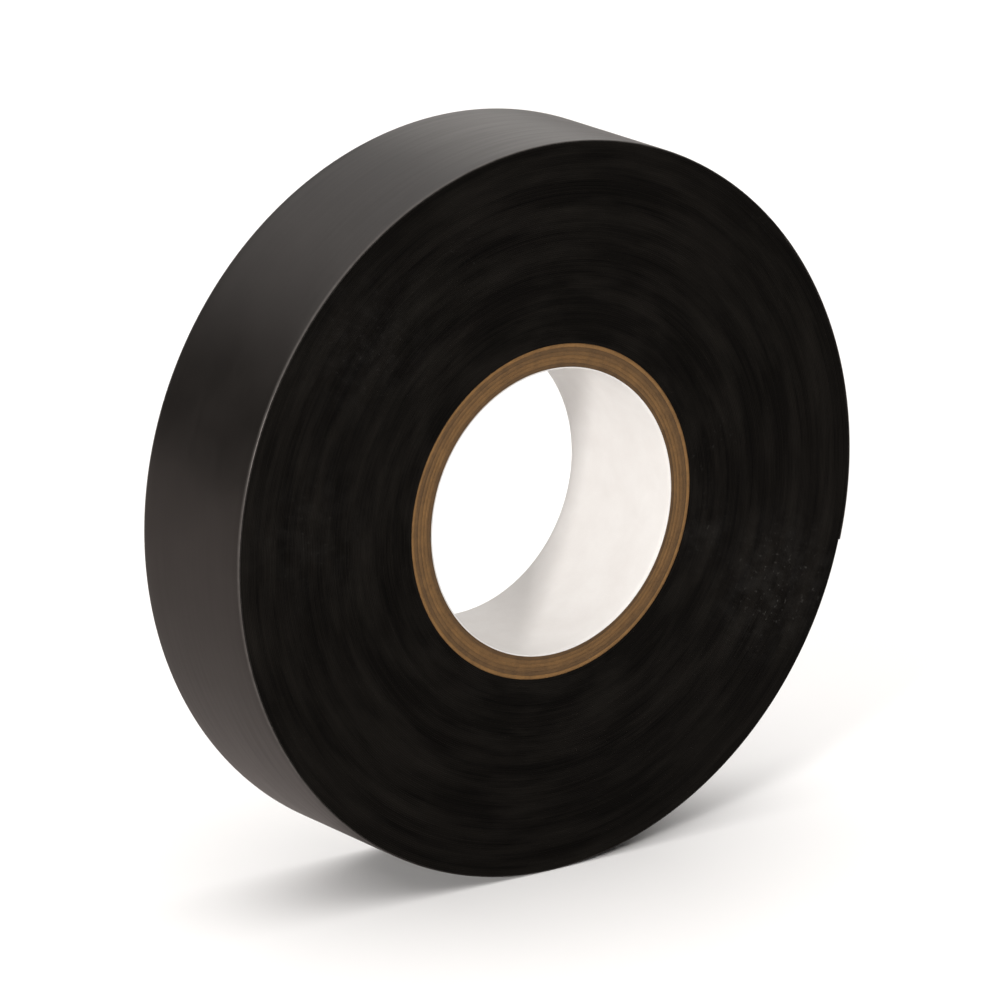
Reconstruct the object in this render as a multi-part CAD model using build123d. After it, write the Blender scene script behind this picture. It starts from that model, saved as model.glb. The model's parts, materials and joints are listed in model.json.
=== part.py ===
from build123d import *
from math import cos, degrees, radians, sin
import os

# An electrical tape roll standing on its rim: a laminated paper core, the tape wound on it, and the tape's
# free end, which peels off the roll. Millimetres, +Z up. The roll's axis lies along Y, and the origin is at
# the middle of the core's bore. Angles turn from +X towards +Z. The tape is wound clockwise as seen from -Y,
# so its free end lies clockwise of the line where it leaves the winding.

# Tape
tape_width = 19.0
tape_thickness = 0.216  # vinyl film with its adhesive
roll_diameter = 85.0  # across the outermost turn, at its free end

# Paper core
bore_diameter = 33.0
liner_thickness = 0.15
ply_thickness = 0.45
ply_count = 6
core_recess = 0.1  # how far each edge of the core lies below the side of the tape

# Free end of the tape
free_end_angle = -14.0  # where the tape is cut off
free_end_span = 54.0  # angle of tape that can be peeled, measured back from the cut
free_end_pieces = 12
lay_gap = 0.02  # between the free end and the turn below it
joint_gap = 0.02  # between neighbouring pieces of the free end

roll_radius = roll_diameter / 2
core_width = tape_width - 2 * core_recess
liner_radius = bore_diameter / 2 + liner_thickness
core_radius = liner_radius + ply_count * ply_thickness


def point_at(centre, radius, angle):
    """The point of a circle at an angle, in the plane of the roll's side."""
    return (
        centre[0] + radius * cos(radians(angle)),
        centre[1] + radius * sin(radians(angle)),
    )


def slab(profile, width):
    """A profile of the roll's side, given its width along Y, centred on the origin."""
    return extrude(Plane.XZ * profile, amount=width / 2, both=True)


def tube(inner_radius, thickness, width):
    """One round layer of the paper core."""
    return slab(Circle(inner_radius + thickness) - Circle(inner_radius), width)


def quarter_turns():
    """Centre, radius and first angle of each quarter of the last turn, back from the free end.

    Each quarter is a round arc a quarter of a thickness smaller than the one before. Their centres step
    round a small square, so that the arcs meet smoothly and the fifth would share the first one's centre.
    """
    step = tape_thickness / 4
    angle = free_end_angle
    centre = point_at(point_at((0, 0), -step / 2, angle + 90), -step / 2, angle + 180)
    turns = []
    for quarter in range(4):
        turns.append((centre, roll_radius - quarter * step, angle))
        angle += 90
        centre = point_at(centre, step, angle)
    return turns


def wound_tape():
    """The whole winding but the free end: its rim is a spiral with one step, where the free end leaves."""
    centre, radius, angle = quarter_turns()[0]
    leaving_angle = angle + free_end_span
    under_radius = radius - tape_thickness
    rim = [
        CenterArc(centre, under_radius, angle, free_end_span),
        Line(
            point_at(centre, under_radius, leaving_angle),
            point_at(centre, radius, leaving_angle),
        ),
        CenterArc(centre, radius, leaving_angle, 90 - free_end_span),
    ]
    for centre, radius, angle in quarter_turns()[1:]:
        rim.append(CenterArc(centre, radius, angle, 90))
    side = make_face(Curve() + rim) - Circle(core_radius)
    return slab(side, tape_width)


def free_end_piece(number):
    """One short length of the free end, counted from the line where it leaves the winding."""
    centre, radius, angle = quarter_turns()[0]
    span = free_end_span / free_end_pieces
    trim = degrees(joint_gap / radius)
    start = angle + free_end_span - number * span + trim / 2
    end = start + span - trim
    under_radius = radius - tape_thickness + lay_gap
    edge = [
        CenterArc(centre, under_radius, start, span - trim),
        Line(point_at(centre, under_radius, end), point_at(centre, radius, end)),
        CenterArc(centre, radius, start, span - trim),
        Line(point_at(centre, radius, start), point_at(centre, under_radius, start)),
    ]
    return slab(make_face(Curve() + edge), tape_width)


def build():
    """Every piece of the roll by its node's name."""
    pieces = {"core_liner": tube(bore_diameter / 2, liner_thickness, core_width)}
    for number in range(1, ply_count + 1):
        inner_radius = liner_radius + (number - 1) * ply_thickness
        pieces[f"core_ply_{number}"] = tube(inner_radius, ply_thickness, core_width)
    pieces["wound_tape"] = wound_tape()
    for number in range(1, free_end_pieces + 1):
        pieces[f"free_end_{number}"] = free_end_piece(number)
    return pieces


os.makedirs("parts", exist_ok=True)
for name, piece in build().items():
    piece.label = name
    export_step(piece, f"parts/{name}.step")

# Hinge lines of the free end, for the moving parts: on the outer surface, midway in each joint gap.
hinge_centre, hinge_radius, cut_angle = quarter_turns()[0]
for number in range(free_end_pieces):
    hinge_angle = cut_angle + free_end_span * (1 - number / free_end_pieces)
    hinge_x, hinge_z = point_at(hinge_centre, hinge_radius, hinge_angle)
    print(f"hinge {number + 1}: x {hinge_x:.4f} z {hinge_z:.4f} mm")
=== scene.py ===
import json
import math

import bmesh
import bpy
from mathutils import Matrix, Vector, noise


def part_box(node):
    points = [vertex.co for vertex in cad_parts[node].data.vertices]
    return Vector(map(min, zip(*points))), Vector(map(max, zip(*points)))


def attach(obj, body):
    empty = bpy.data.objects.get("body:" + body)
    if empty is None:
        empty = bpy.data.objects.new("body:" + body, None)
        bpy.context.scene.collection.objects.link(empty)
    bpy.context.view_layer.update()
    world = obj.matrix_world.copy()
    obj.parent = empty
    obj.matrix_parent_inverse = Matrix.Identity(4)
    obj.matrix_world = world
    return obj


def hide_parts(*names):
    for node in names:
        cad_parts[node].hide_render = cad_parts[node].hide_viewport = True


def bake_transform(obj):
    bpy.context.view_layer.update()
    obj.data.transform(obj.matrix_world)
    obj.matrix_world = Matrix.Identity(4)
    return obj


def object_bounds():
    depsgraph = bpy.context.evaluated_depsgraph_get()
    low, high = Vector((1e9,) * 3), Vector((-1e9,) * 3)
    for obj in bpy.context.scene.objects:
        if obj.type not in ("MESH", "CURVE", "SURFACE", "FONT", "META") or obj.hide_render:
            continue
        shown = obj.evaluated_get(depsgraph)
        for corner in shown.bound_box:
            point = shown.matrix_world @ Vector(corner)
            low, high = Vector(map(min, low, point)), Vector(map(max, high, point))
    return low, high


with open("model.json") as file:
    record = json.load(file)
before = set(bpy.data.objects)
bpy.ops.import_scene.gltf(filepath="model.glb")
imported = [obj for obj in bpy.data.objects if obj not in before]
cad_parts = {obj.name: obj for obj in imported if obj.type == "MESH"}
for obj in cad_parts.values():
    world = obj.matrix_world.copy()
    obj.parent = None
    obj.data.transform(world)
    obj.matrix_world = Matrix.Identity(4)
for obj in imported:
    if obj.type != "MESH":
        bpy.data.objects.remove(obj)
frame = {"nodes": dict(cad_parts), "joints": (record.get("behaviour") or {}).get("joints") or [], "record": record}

cad_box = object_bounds()


# ---------------------------------------------------------------------------------------------------
# Core liner. A strip of smooth white paper, wound in a steep spiral on the mandrel before the kraft
# plies and glued to the first of them. It is the wall of the bore, with a faint seam where the strip
# meets itself.
# ---------------------------------------------------------------------------------------------------
bore_radius = frame["record"]["mounts"][0]["dims"]["r_mm"] / 1000
liner_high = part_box("core_liner")[1]
core_half_width = liner_high.y
liner_edge_wear = 0.00004
liner_columns = 28
liner_seam_pitch = 0.052  # along the axis, for one turn of the strip's seam
liner_seam_start = 2.6  # radians
liner_seam_depth = 0.00005
liner_seam_half_width = 0.00022
core_steps = 256
liner_pale = (0.638, 0.619, 0.600)
liner_mottle = (0.60, 0.576, 0.557)


def spun(bm, outline, steps, first_angle=0.0, turn=math.tau):
    """Turns a closed outline of (radius, y) points about the roll's axis. Returns the outline's last copy."""
    start = Matrix.Rotation(-first_angle, 4, "Y")
    corners = [bm.verts.new(start @ Vector((radius, y, 0))) for radius, y in outline]
    profile = bm.faces.new(corners)
    full = math.isclose(turn, math.tau)
    if full:
        bm.faces.remove(profile)
        geometry = corners + list({edge for corner in corners for edge in corner.link_edges})
    else:
        geometry = corners + list(profile.edges) + [profile]
    made = bmesh.ops.spin(
        bm, geom=geometry, cent=(0, 0, 0), axis=(0, -1, 0), angle=turn, steps=steps, use_merge=full
    )
    return [part for part in made["geom_last"] if isinstance(part, bmesh.types.BMVert)]


def finished(bm, name, materials, sharp_angle):
    """Makes an object of the mesh, with outward faces, smooth but for edges past the sharp angle."""
    bmesh.ops.recalc_face_normals(bm, faces=bm.faces)
    mesh = bpy.data.meshes.new(name)
    bm.to_mesh(mesh)
    bm.free()
    for material in materials:
        mesh.materials.append(material)
    mesh.shade_smooth()
    mesh.set_sharp_from_angle(angle=math.radians(sharp_angle))
    piece = bpy.data.objects.new(name, mesh)
    bpy.context.scene.collection.objects.link(piece)
    return piece


def evenly(first, last, count):
    """Numbers from first to last, evenly spaced, with both ends."""
    return [first + (last - first) * step / (count - 1) for step in range(count)]


def new_material(name, colour, roughness):
    """A material, its node tree and its shader node, with a plain colour and roughness to start from."""
    material = bpy.data.materials.new(name)
    material.use_nodes = True
    shader = material.node_tree.nodes["Principled BSDF"]
    shader.inputs["Base Color"].default_value = (*colour, 1)
    shader.inputs["Roughness"].default_value = roughness
    return material, material.node_tree, shader


def noise_texture(tree, vector, scale, detail=2.0, roughness=0.5):
    """A noise pattern on the given coordinates."""
    texture = tree.nodes.new("ShaderNodeTexNoise")
    texture.inputs["Scale"].default_value = scale
    texture.inputs["Detail"].default_value = detail
    texture.inputs["Roughness"].default_value = roughness
    tree.links.new(vector, texture.inputs["Vector"])
    return texture.outputs["Fac"]


def between(tree, value, low, high, out_low=0.0, out_high=1.0):
    """Stretches the part of a pattern between low and high over a new range, and holds it past the ends."""
    stretch = tree.nodes.new("ShaderNodeMapRange")
    for name, number in (("From Min", low), ("From Max", high), ("To Min", out_low), ("To Max", out_high)):
        stretch.inputs[name].default_value = number
    tree.links.new(value, stretch.inputs["Value"])
    return stretch.outputs["Result"]


def mixed(tree, share, first, second):
    """A colour between two others. Each is three numbers or the output of another node."""
    mix = tree.nodes.new("ShaderNodeMix")
    mix.data_type = "RGBA"
    first_colour, second_colour, mixed_colour = mix.inputs[6], mix.inputs[7], mix.outputs[2]
    tree.links.new(share, mix.inputs["Factor"])
    for socket, colour in ((first_colour, first), (second_colour, second)):
        if isinstance(colour, tuple):
            socket.default_value = (*colour, 1)
        else:
            tree.links.new(colour, socket)
    return mixed_colour


def add_bump(tree, shader, height, distance, strength=1.0):
    """Lets a height pattern, in shares of a distance in metres, tilt the shading."""
    bump = tree.nodes.new("ShaderNodeBump")
    bump.inputs["Distance"].default_value = distance
    bump.inputs["Strength"].default_value = strength
    tree.links.new(height, bump.inputs["Height"])
    tree.links.new(bump.outputs["Normal"], shader.inputs["Normal"])


def liner_paper():
    """Smooth white paper: barely mottled, with short fibres that only show close by."""
    material, tree, shader = new_material("liner_paper", liner_pale, roughness=0.62)
    place = tree.nodes.new("ShaderNodeTexCoord").outputs["Object"]
    mottle = between(tree, noise_texture(tree, place, scale=260, detail=4, roughness=0.6), 0.3, 0.7)
    colour = mixed(tree, mottle, liner_mottle, liner_pale)
    tree.links.new(colour, shader.inputs["Base Color"])
    fibres = noise_texture(tree, place, scale=3200, detail=5, roughness=0.65)
    add_bump(tree, shader, fibres, distance=0.00002, strength=0.5)
    return material


bm = bmesh.new()
inner_ys = evenly(-core_half_width + liner_edge_wear, core_half_width - liner_edge_wear, liner_columns)
outline = [(bore_radius, y) for y in inner_ys]
outline += [
    (bore_radius + liner_edge_wear, core_half_width),
    (liner_high.x, core_half_width),
    (liner_high.x, -core_half_width),
    (bore_radius + liner_edge_wear, -core_half_width),
]
spun(bm, outline, core_steps)
for vert in bm.verts:
    if math.hypot(vert.co.x, vert.co.z) < bore_radius + liner_edge_wear / 2:
        seam_angle = liner_seam_start + vert.co.y / liner_seam_pitch * math.tau
        off_angle = math.remainder(math.atan2(vert.co.z, vert.co.x) - seam_angle, math.tau)
        depth_share = math.exp(-((off_angle * bore_radius / liner_seam_half_width) ** 2))
        grown = 1 + liner_seam_depth * depth_share / bore_radius
        vert.co.x *= grown
        vert.co.z *= grown
liner = finished(bm, "core_liner_paper", [liner_paper()], 50)
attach(liner, "roll")
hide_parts("core_liner")


# ---------------------------------------------------------------------------------------------------
# Core plies. Strips of raw brown kraft board, each wound over the last with glue and cut through with
# the roll, so the core's edge shows one band for each ply, a darker glue line between two of them, and
# a slightly furry cut.
# ---------------------------------------------------------------------------------------------------
ply_names = sorted(name for name in frame["nodes"] if name.startswith("core_ply_"))
ply_round = 0.00006
ply_sink = 0.00004  # how unevenly the cut leaves the plies
fray_scale = 900  # of the waves in the cut, fray_stretch times finer across the ply than along it
fray_stretch = 10
ply_shades = (0.62, 0.98, 1.10, 0.88, 0.70, 1.36)  # from the lining outwards
kraft_light = (0.122, 0.061, 0.0165)
kraft_dark = (0.077, 0.037, 0.0090)
kraft_blotch = 1.35  # times the light colour
kraft_steps = 192


def ring_coordinates(tree):
    """Coordinates that follow the winding: radius in metres, then a unit circle, with no seam."""
    place = tree.nodes.new("ShaderNodeTexCoord").outputs["Object"]
    flatten = tree.nodes.new("ShaderNodeVectorMath")
    flatten.operation = "MULTIPLY"
    flatten.inputs[1].default_value = (1, 0, 1)
    tree.links.new(place, flatten.inputs[0])
    length = tree.nodes.new("ShaderNodeVectorMath")
    length.operation = "LENGTH"
    tree.links.new(flatten.outputs["Vector"], length.inputs[0])
    unit = tree.nodes.new("ShaderNodeVectorMath")
    unit.operation = "NORMALIZE"
    tree.links.new(flatten.outputs["Vector"], unit.inputs[0])
    apart = tree.nodes.new("ShaderNodeSeparateXYZ")
    tree.links.new(unit.outputs["Vector"], apart.inputs[0])
    return place, length.outputs["Value"], apart.outputs["X"], apart.outputs["Z"]


def ring_pattern(tree, rings, along, ring_scale, detail=2.0, roughness=0.5):
    """Noise that changes quickly from ring to ring and, where along is small, slowly round each ring."""
    _, radius, across, up = rings
    scaled = []
    for value, factor in ((radius, ring_scale), (across, along), (up, along)):
        times = tree.nodes.new("ShaderNodeMath")
        times.operation = "MULTIPLY"
        times.inputs[1].default_value = factor
        tree.links.new(value, times.inputs[0])
        scaled.append(times.outputs["Value"])
    joined = tree.nodes.new("ShaderNodeCombineXYZ")
    for number, value in enumerate(scaled):
        tree.links.new(value, joined.inputs[number])
    return noise_texture(tree, joined.outputs["Vector"], 1.0, detail, roughness)


def kraft_board(name, shade):
    """Raw kraft board: brown with darker and lighter fibres that run round the core."""
    light = tuple(channel * shade for channel in kraft_light)
    dark = tuple(channel * shade for channel in kraft_dark)
    material, tree, shader = new_material(name, light, roughness=0.88)
    rings = ring_coordinates(tree)
    place = rings[0]
    fibres = ring_pattern(tree, rings, along=64, ring_scale=11000, detail=3, roughness=0.6)
    blotches = noise_texture(tree, place, scale=900, detail=3, roughness=0.6)
    colour = mixed(tree, between(tree, fibres, 0.3, 0.7), dark, light)
    blotched = between(tree, blotches, 0.35, 0.7, out_low=0, out_high=0.55)
    colour = mixed(tree, blotched, colour, tuple(channel * kraft_blotch for channel in light))
    tree.links.new(colour, shader.inputs["Base Color"])
    fuzz = noise_texture(tree, place, scale=7000, detail=4, roughness=0.7)
    add_bump(tree, shader, fuzz, distance=0.00003, strength=0.8)
    return material


for number, name in enumerate(ply_names):
    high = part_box(name)[1]
    inner = liner_high.x if number == 0 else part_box(ply_names[number - 1])[1].x
    outer = high.x
    half = high.y - ply_sink * (number % 3) / 2
    outline = []
    for y, side in ((-half, -1), (half, 1)):
        points = [(inner, y - side * ply_round), (inner + ply_round, y)]
        points += [((inner + outer) / 2, y), (outer - ply_round, y), (outer, y - side * ply_round)]
        outline += points if side < 0 else points[::-1]
    bm = bmesh.new()
    spun(bm, outline, kraft_steps)
    for vert in bm.verts:
        if abs(vert.co.y) > half - ply_round / 2:
            place = Vector((vert.co.x, vert.co.y * fray_stretch, vert.co.z)) * fray_scale
            wave = noise.noise(place + Vector((number, 0, 0)))
            vert.co.y -= math.copysign((0.5 + 0.5 * wave) * ply_sink, vert.co.y)
    ply = finished(bm, f"kraft_{name}", [kraft_board(f"kraft_{name}", ply_shades[number])], 50)
    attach(ply, "roll")
    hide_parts(name)


# ---------------------------------------------------------------------------------------------------
# Wound tape. One length of black vinyl film with rubber adhesive on its inner face, wound under tension
# and slit to width, so each turn's edge is a thin film line beside a sunken adhesive line, and no two
# turns lie quite level. Every turn is there, on a true spiral, made in groups of turns.
# ---------------------------------------------------------------------------------------------------
tape_thickness = 0.000216
tape_half_width = 0.00943  # the wander takes the rest of the roll's width
first_hinge = frame["joints"][0]["pos_m"]
peel_angle = math.atan2(first_hinge[2], first_hinge[0])
peel_radius = math.hypot(first_hinge[0], first_hinge[2])
core_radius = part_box(ply_names[-1])[1].x
turn_count = int((peel_radius - core_radius) / tape_thickness) - 1
base_radius = peel_radius - turn_count * tape_thickness
turn_groups = 5
buried_steps = 128  # round a turn
outermost_steps = 256
nearly_full_turn = math.tau * 0.9999999  # left open, so that the spiral's two ends can part
end_slack = 1e-4  # radians or turns, for rounding
on_face = 1e-7  # metres, for rounding
slow_wander = 0.00004  # along the axis, over about eight turns
quick_wander = 0.000014  # from one turn to the next
adhesive_share = 0.17  # of the tape's thickness
adhesive_sink = 0.00003
edge_points = (  # share of the thickness, and how far that point is sunk, in shares of adhesive_sink
    (0.02, 1.0),
    (0.15, 1.0),
    (0.21, 0.0),
    (0.58, -0.12),
    (0.97, 0.0),
)
film_points = 3  # of those, the ones that the rounded lip replaces on the outermost turn
edge_dark = (0.0012, 0.0010, 0.0008)
edge_light = (0.0044, 0.0037, 0.0029)
edge_band = (0.0086, 0.0074, 0.0060)
film_dark = (0.0058, 0.0050, 0.0044)
film_light = (0.0090, 0.0078, 0.0070)
film_tint = (1.0, 0.88, 0.83, 1)
# Lighter colour for the film's outer face by its slit edges and its cut end: partly rubbed wear, partly a painted
# highlight.
wear_and_highlight_colour = (0.050, 0.046, 0.043)
dust_colour = (0.062, 0.059, 0.055)
mark_places = (  # middle, reach and strength of the patches where dust has rubbed in
    ((0.0318, -0.0095, -0.0138), 0.0110, 1.0),
    ((0.0215, -0.0095, -0.0060), 0.0060, 0.6),
    ((-0.0330, -0.0095, 0.0030), 0.0110, 0.4),
    ((-0.0260, -0.0095, 0.0230), 0.0120, 0.45),
    ((0.0240, 0.0095, 0.0210), 0.0120, 0.7),
)
lip_drop = 0.00017  # the slit edge of the outermost turn rounds over by this much
lip_reach = 0.0003  # and starts to round this far from it
lip_steps = 5
wear_and_highlight_edge = 0.00042  # lighter from each edge of the outer face inwards: partly rubbed wear, partly a painted highlight on the rounded corner
wear_and_highlight_cut = 0.0003  # and from the cut end back along the tape: partly rubbed wear, partly a painted highlight on the cut
hinge_angles = [math.atan2(joint["pos_m"][2], joint["pos_m"][0]) for joint in frame["joints"]]
piece_angle = hinge_angles[0] - hinge_angles[1]
cut_angle = hinge_angles[-1] - piece_angle
cut_place = (cut_angle - peel_angle) * peel_radius  # along the tape, from the peel line
rim_columns = 16
rim_swell = 0.000012  # depth of the hollows that winding tension leaves in the outer face
rim_depth = 1.6  # thicknesses in from the outer face, down to which a face can be film
rim_lean = 0.85  # a face that looks further than this along the axis is slit edge


def wander(turn):
    """How far the tape has drifted along the axis, by its turn, counted as a fraction."""
    slow = noise.noise(Vector((turn * 0.13, 4.0, 0))) * slow_wander
    return slow + noise.noise(Vector((turn * 0.83, 9.0, 0))) * quick_wander


def lip(radius, half_width, side):
    """The rounded slit edge of a film whose outer face is at a radius, from its side to its face."""
    points = []
    for step in range(lip_steps + 1):
        angle = math.pi / 2 * step / lip_steps
        points.append(
            (
                radius - lip_drop * (1 - math.sin(angle)),
                side * (half_width - lip_reach * (1 - math.cos(angle))),
            )
        )
    return points


def edge_outline(first_turn, last_turn, side):
    """The edges of a group of turns on one side, from the inside out."""
    points = []
    for turn in range(first_turn, last_turn):
        for share, sunk in edge_points:
            radius = base_radius + (turn + share) * tape_thickness
            points.append((radius, side * (tape_half_width - sunk * adhesive_sink)))
    return points


def swell(turn, y):
    """The outer face's slight hills and hollows, always inwards of its nominal radius."""
    broad = noise.noise(Vector((turn * 9, y * 240, 2.5)))
    short = noise.noise(Vector((turn * 31, y * 90, 7)))
    return -rim_swell * (0.75 + 0.5 * (broad + 0.5 * short))


def lay_spiral(bm, last, outer_radius):
    """Draws a spun group in by one thickness a turn and moves each turn along the axis by its wander."""
    last = set(last)
    angles = {}
    for vert in bm.verts:
        angle = (math.atan2(vert.co.z, vert.co.x) - peel_angle) % math.tau
        if vert in last:
            angle = math.tau
        elif angle > math.tau - end_slack:
            angle = 0.0
        radius = math.hypot(vert.co.x, vert.co.z)
        turn = math.floor((radius - base_radius) / tape_thickness - end_slack) - angle / math.tau
        new_radius = radius - tape_thickness * angle / math.tau
        if radius < base_radius + on_face:
            new_radius = core_radius
        if radius > outer_radius - lip_drop / 4 and abs(vert.co.y) < tape_half_width - lip_reach / 2:
            new_radius += swell(turn, vert.co.y)
        vert.co.x *= new_radius / radius
        vert.co.z *= new_radius / radius
        vert.co.y += wander(turn)
        angles[vert] = angle
    return angles


def product(tree, first, second):
    """Two patterns multiplied."""
    times = tree.nodes.new("ShaderNodeMath")
    times.operation = "MULTIPLY"
    tree.links.new(first, times.inputs[0])
    tree.links.new(second, times.inputs[1])
    return times.outputs["Value"]


def larger(tree, first, second):
    """The larger of two patterns."""
    most = tree.nodes.new("ShaderNodeMath")
    most.operation = "MAXIMUM"
    tree.links.new(first, most.inputs[0])
    tree.links.new(second, most.inputs[1])
    return most.outputs["Value"]


def near_mark(tree, place):
    """Each dust patch's strength at its middle, fading to nothing at its reach."""
    nearest = None
    for centre, reach, strength in mark_places:
        apart = tree.nodes.new("ShaderNodeVectorMath")
        apart.operation = "DISTANCE"
        apart.inputs[1].default_value = centre
        tree.links.new(place, apart.inputs[0])
        mark = between(tree, apart.outputs["Value"], reach / 10, reach, out_low=strength, out_high=0)
        nearest = mark if nearest is None else larger(tree, nearest, mark)
    return nearest


def slit_edges():
    """The sides of the winding: matt black, each turn a little different, with paper dust and old smears."""
    material, tree, shader = new_material("slit_tape_edges", edge_light, roughness=0.6)
    shader.inputs["Specular IOR Level"].default_value = 0.05
    rings = ring_coordinates(tree)
    place = rings[0]
    fine = ring_pattern(tree, rings, along=1.6, ring_scale=5200, detail=2, roughness=0.6)
    fine = between(tree, fine, 0.3, 0.75)
    broad = ring_pattern(tree, rings, along=2.2, ring_scale=420, detail=3, roughness=0.6)
    colour = mixed(tree, fine, edge_dark, edge_light)
    colour = mixed(tree, between(tree, broad, 0.42, 0.78), colour, edge_band)
    grime = noise_texture(tree, place, scale=60, detail=3, roughness=0.6)
    grime = between(tree, grime, 0.55, 0.78, out_low=0, out_high=0.7)
    patch = near_mark(tree, place)
    specks = between(tree, noise_texture(tree, place, scale=1700, detail=2, roughness=0.5), 0.58, 0.74)
    smear = noise_texture(tree, place, scale=420, detail=4, roughness=0.65)
    smear = between(tree, smear, 0.42, 0.72, out_low=0, out_high=0.16)
    dusty = product(tree, larger(tree, grime, patch), specks)
    colour = mixed(tree, product(tree, patch, smear), colour, dust_colour)
    colour = mixed(tree, product(tree, dusty, dusty), colour, dust_colour)
    tree.links.new(colour, shader.inputs["Base Color"])
    tree.links.new(between(tree, fine, 0, 1, out_low=0.68, out_high=0.50), shader.inputs["Roughness"])
    grain = noise_texture(tree, place, scale=5200, detail=3, roughness=0.6)
    add_bump(tree, shader, grain, distance=0.000012, strength=0.7)
    return material


def vinyl_film():
    """The film's face: satin black, calendered, with faint streaks along the tape and a fine grain."""
    material, tree, shader = new_material("vinyl_film", film_light, roughness=0.34)
    shader.inputs["Specular IOR Level"].default_value = 0.31
    shader.inputs["Specular Tint"].default_value = film_tint
    strip_map = tree.nodes.new("ShaderNodeUVMap")
    strip_map.uv_map = "tape"
    unrolled = strip_map.outputs["UV"]
    stretch = tree.nodes.new("ShaderNodeMapping")
    stretch.inputs["Scale"].default_value = (60, 1800, 1)
    tree.links.new(unrolled, stretch.inputs["Vector"])
    streaks = noise_texture(tree, stretch.outputs["Vector"], scale=1.0, detail=3, roughness=0.6)
    clouds = noise_texture(tree, unrolled, scale=130, detail=3, roughness=0.55)
    colour = mixed(tree, between(tree, clouds, 0.35, 0.7), film_dark, film_light)
    parts = tree.nodes.new("ShaderNodeSeparateXYZ")
    tree.links.new(unrolled, parts.inputs[0])
    off_middle = tree.nodes.new("ShaderNodeMath")
    off_middle.operation = "ABSOLUTE"
    tree.links.new(parts.outputs["Y"], off_middle.inputs[0])
    # Painted highlight and wear: the face is made lighter near its slit edges, where the rounded corner catches
    # the light, and near the cut end.
    wear_and_highlight_start = tape_half_width - wear_and_highlight_edge
    full_wear_and_highlight = tape_half_width - wear_and_highlight_edge / 3
    at_edge = between(tree, off_middle.outputs["Value"], wear_and_highlight_start, full_wear_and_highlight)
    at_cut = between(tree, parts.outputs["X"], cut_place + wear_and_highlight_cut, cut_place + wear_and_highlight_cut / 3)
    uneven_wear_and_highlight = noise_texture(tree, unrolled, scale=420, detail=4, roughness=0.7)
    uneven_wear_and_highlight = between(tree, uneven_wear_and_highlight, 0.25, 0.6, out_low=0.35, out_high=1)
    wear_and_highlight = product(tree, larger(tree, at_edge, at_cut), uneven_wear_and_highlight)
    colour = mixed(tree, wear_and_highlight, colour, wear_and_highlight_colour)
    tree.links.new(colour, shader.inputs["Base Color"])
    sheen = between(tree, streaks, 0.3, 0.7, out_low=0.31, out_high=0.38)
    tree.links.new(sheen, shader.inputs["Roughness"])
    grain = noise_texture(tree, unrolled, scale=4200, detail=3, roughness=0.6)
    add_bump(tree, shader, grain, distance=0.000006, strength=0.6)
    return material


def lay_uv(bm, along):
    """Unrolls the tape: its length across the map and its width up it, in metres."""
    uv = bm.loops.layers.uv.new("tape")
    for face in bm.faces:
        for loop in face.loops:
            loop[uv].uv = (along[loop.vert], loop.vert.co.y)


edges = slit_edges()
film = vinyl_film()
for group in range(turn_groups):
    first_turn = round(turn_count * group / turn_groups)
    last_turn = round(turn_count * (group + 1) / turn_groups)
    outermost = group == turn_groups - 1
    inner_radius = base_radius + first_turn * tape_thickness
    outer_radius = base_radius + last_turn * tape_thickness
    outline = [(inner_radius, -tape_half_width + adhesive_sink)]
    outline += edge_outline(first_turn, last_turn, -1)
    if outermost:
        outline = outline[:-film_points] + lip(outer_radius, tape_half_width, -1)
        inside = tape_half_width - lip_reach
        outline += [(outer_radius, y) for y in evenly(-inside, inside, rim_columns)[1:-1]]
        outline += lip(outer_radius, tape_half_width, 1)[::-1]
        outline += edge_outline(first_turn, last_turn, 1)[:-film_points][::-1]
    else:
        outline += edge_outline(first_turn, last_turn, 1)[::-1]
    outline.append((inner_radius, tape_half_width - adhesive_sink))
    bm = bmesh.new()
    steps = outermost_steps if outermost else buried_steps
    last = spun(bm, outline, steps, peel_angle, nearly_full_turn)
    angles = lay_spiral(bm, last, outer_radius)
    if outermost:
        lay_uv(bm, {vert: angle * peel_radius for vert, angle in angles.items()})
        bm.normal_update()
        for face in bm.faces:
            centre = face.calc_center_median()
            at_rim = math.hypot(centre.x, centre.z) > outer_radius - tape_thickness * rim_depth
            if at_rim and abs(face.normal.y) < rim_lean:
                face.material_index = 1
    winding = finished(bm, f"wound_turns_{group + 1}", [edges, film], 40)
    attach(winding, "roll")
    if outermost:
        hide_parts("wound_tape")


# ---------------------------------------------------------------------------------------------------
# Free end. The last 40 mm of the same tape, cut straight across and pressed down on the turn below.
# The film is one strip, made in lengths that meet in the middle of the moving pieces, so that each
# length spans one hinge.
# ---------------------------------------------------------------------------------------------------
hinge_count = len(frame["joints"])
adhesive_thickness = tape_thickness * adhesive_share
lay_gap = 0.000003  # between the free end and the turn below it
strip_steps = 12
adhesive_dark = (0.012, 0.010, 0.009)
adhesive_light = (0.022, 0.019, 0.016)
tail_bodies = ["roll"] + [joint["child"] for joint in frame["joints"]]


def strip_outline(outer_radius, inner_radius, half_width, rounded):
    """The strip's cross-section: its outer face in columns, then its inner face in columns."""
    if rounded:
        outline = lip(outer_radius, half_width, -1)
        inside = half_width - lip_reach
        outline += [(outer_radius, y) for y in evenly(-inside, inside, rim_columns)[1:-1]]
        outline += lip(outer_radius, half_width, 1)[::-1]
    else:
        outline = [(outer_radius, y) for y in evenly(-half_width, half_width, rim_columns)]
    outline += [(inner_radius, y) for y in evenly(half_width, -half_width, rim_columns)]
    return outline


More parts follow.
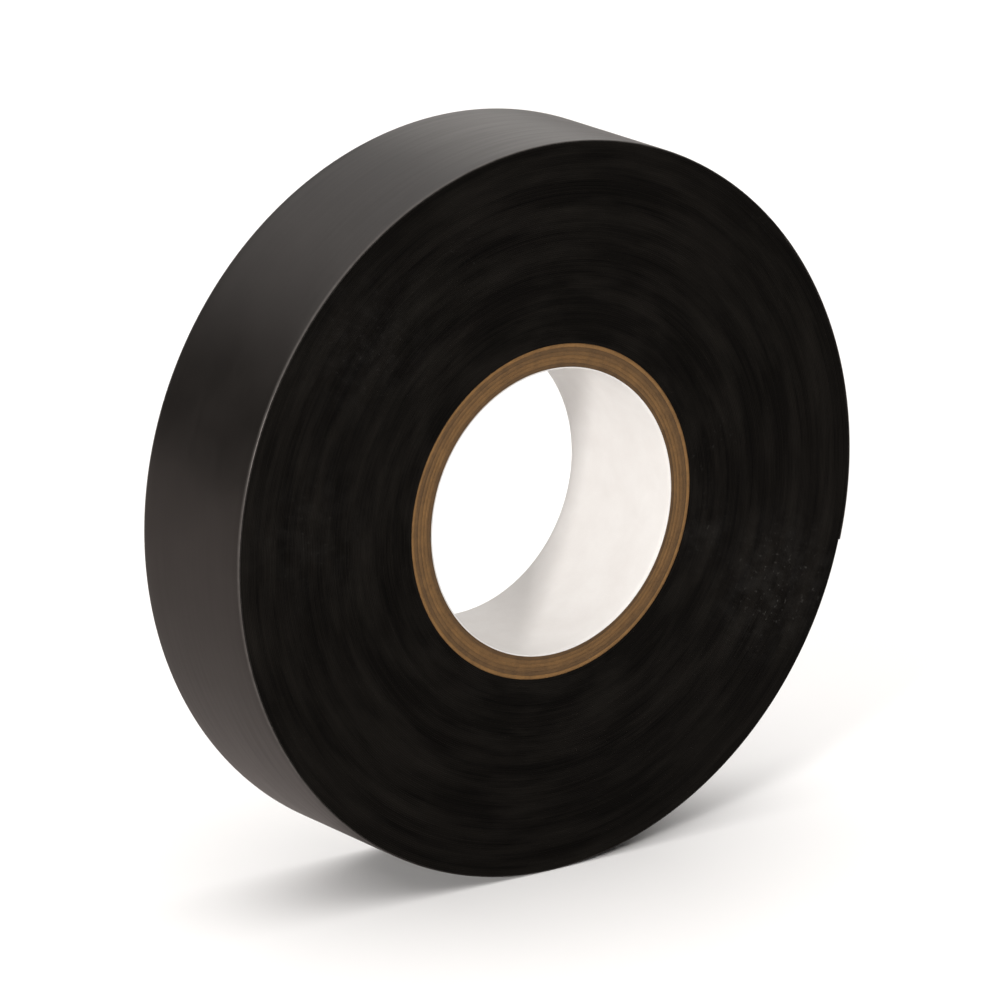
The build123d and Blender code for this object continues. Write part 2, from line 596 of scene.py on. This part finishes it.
def strip(name, outline, from_angle, to_angle, materials):
    """A length of the free end between two angles of the roll, on the spiral that the winding follows."""
    bm = bmesh.new()
    spun(bm, outline, strip_steps, to_angle, from_angle - to_angle)
    along = {}
    for vert in bm.verts:
        angle = math.atan2(vert.co.z, vert.co.x)
        turn = turn_count + (peel_angle - angle) / math.tau
        radius = math.hypot(vert.co.x, vert.co.z)
        new_radius = radius + tape_thickness * (peel_angle - angle) / math.tau
        if radius > peel_radius - on_face and abs(vert.co.y) < tape_half_width - lip_reach / 2:
            new_radius += swell(turn - 1, vert.co.y)
        vert.co.x *= new_radius / radius
        vert.co.z *= new_radius / radius
        vert.co.y += wander(turn - 1)
        along[vert] = (angle - peel_angle) * peel_radius
    lay_uv(bm, along)
    return finished(bm, name, materials, 40)


def adhesive_coat():
    """Black rubber adhesive: wet-looking, with the faint ripples that peeling leaves."""
    material, tree, shader = new_material("rubber_adhesive", adhesive_light, roughness=0.2)
    strip_map = tree.nodes.new("ShaderNodeUVMap")
    strip_map.uv_map = "tape"
    ripples = noise_texture(tree, strip_map.outputs["UV"], scale=900, detail=4, roughness=0.6)
    wetness = between(tree, ripples, 0.3, 0.7, out_low=0.16, out_high=0.30)
    tree.links.new(wetness, shader.inputs["Roughness"])
    colour = mixed(tree, between(tree, ripples, 0.35, 0.65), adhesive_dark, adhesive_light)
    tree.links.new(colour, shader.inputs["Base Color"])
    add_bump(tree, shader, ripples, distance=0.00002, strength=0.5)
    return material


under_radius = peel_radius - tape_thickness
bond_radius = under_radius + adhesive_thickness
film_outline = strip_outline(peel_radius, bond_radius, tape_half_width, True)
coat_outline = strip_outline(bond_radius, under_radius + lay_gap, tape_half_width - adhesive_sink, False)
layers = (("film", film_outline, film), ("adhesive", coat_outline, adhesive_coat()))
ends = [hinge_angles[0]] + [angle - piece_angle / 2 for angle in hinge_angles] + [cut_angle]
for layer, outline, material in layers:
    for number in range(hinge_count + 1):
        piece = strip(f"free_end_{layer}_{number + 1}", outline, ends[number], ends[number + 1], [material])
        if number < hinge_count:
            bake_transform(piece)
            if layer == "film":
                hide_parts(f"free_end_{number + 1}")
        else:
            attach(piece, tail_bodies[-1])


# ---------------------------------------------------------------------------------------------------
# Studio. A pale table top, a large soft light above it, a small light at the front left that reaches
# into the bore, a soft light behind for the back of the rim, and a long lens a little above the roll.
# Gloss mirrors a greyer table than the eye sees, and the air behind the table is pale only to the eye.
# ---------------------------------------------------------------------------------------------------
floor_half = 1.75  # half the table's side
table_colour = (0.95, 0.94, 0.935)
mirrored_table = (0.50, 0.445, 0.425)
lamp_colour = (1.0, 0.985, 0.97)
back_lamp_colour = (1.0, 0.96, 0.92)
air_colour = (1, 0.99, 0.98, 1)
view_azimuth = math.radians(-35.9)
view_elevation = math.radians(16.15)
view_distance = 0.868
view_target = (-0.00037, -0.00075)  # right and up
lens_length = 276.7  # millimetres, on a 36 mm sensor


def soft_light(name, place, aim, size, power, colour):
    """A square area light that faces a point. Camera rays don't see it."""
    data = bpy.data.lights.new(name, "AREA")
    data.shape = "SQUARE"
    data.size = size
    data.energy = power
    data.color = colour
    lamp = bpy.data.objects.new(name, data)
    bpy.context.scene.collection.objects.link(lamp)
    lamp.location = place
    lamp.rotation_euler = (Vector(aim) - Vector(place)).to_track_quat("-Z", "Y").to_euler()
    lamp.visible_camera = False


bm = bmesh.new()
bmesh.ops.create_grid(bm, x_segments=1, y_segments=1, size=floor_half)
bmesh.ops.translate(bm, verts=bm.verts, vec=(0, 0, cad_box[0].z))
table_top, tree, shader = new_material("table_top", table_colour, roughness=0.7)
ray = tree.nodes.new("ShaderNodeLightPath")
colour = mixed(tree, ray.outputs["Is Glossy Ray"], table_colour, mirrored_table)
tree.links.new(colour, shader.inputs["Base Color"])
floor = finished(bm, "table_top", [table_top], 40)

soft_light("top_light", (0.4, 0.3, 1.9), (0.4, 0.3, 0), size=5.6, power=146, colour=lamp_colour)
soft_light("key_light", (-1.15, -0.69, 0.33), (0, 0, 0), size=0.2, power=17, colour=lamp_colour)
soft_light("back_light", (1.2, 1.6, 0.6), (0, 0, 0), size=0.9, power=3, colour=back_lamp_colour)

world = bpy.data.worlds.new("studio")
world.use_nodes = True
tree = world.node_tree
dim_air = tree.nodes["Background"]
dim_air.inputs["Color"].default_value = air_colour
dim_air.inputs["Strength"].default_value = 0.05
pale_backdrop = tree.nodes.new("ShaderNodeBackground")
pale_backdrop.inputs["Color"].default_value = air_colour
pale_backdrop.inputs["Strength"].default_value = 0.85
seen = tree.nodes.new("ShaderNodeMixShader")
ray = tree.nodes.new("ShaderNodeLightPath")
tree.links.new(ray.outputs["Is Camera Ray"], seen.inputs[0])
tree.links.new(dim_air.outputs[0], seen.inputs[1])
tree.links.new(pale_backdrop.outputs[0], seen.inputs[2])
tree.links.new(seen.outputs[0], tree.nodes["World Output"].inputs["Surface"])
bpy.context.scene.world = world
bpy.context.scene.view_settings.view_transform = "Standard"

back = Vector(
    (
        math.sin(view_azimuth) * math.cos(view_elevation),
        -math.cos(view_azimuth) * math.cos(view_elevation),
        math.sin(view_elevation),
    )
)
right = Vector((math.cos(view_azimuth), math.sin(view_azimuth), 0))
lens = bpy.data.cameras.new("lens")
lens.lens = lens_length
lens.sensor_width = 36
lens.clip_start, lens.clip_end = 0.05, 20
camera = bpy.data.objects.new("lens", lens)
bpy.context.scene.collection.objects.link(camera)
camera.location = right * view_target[0] + back.cross(right) * view_target[1] + back * view_distance
camera.rotation_mode = "QUATERNION"
camera.rotation_quaternion = (-back).to_track_quat("-Z", "Y")
bpy.context.scene.camera = camera
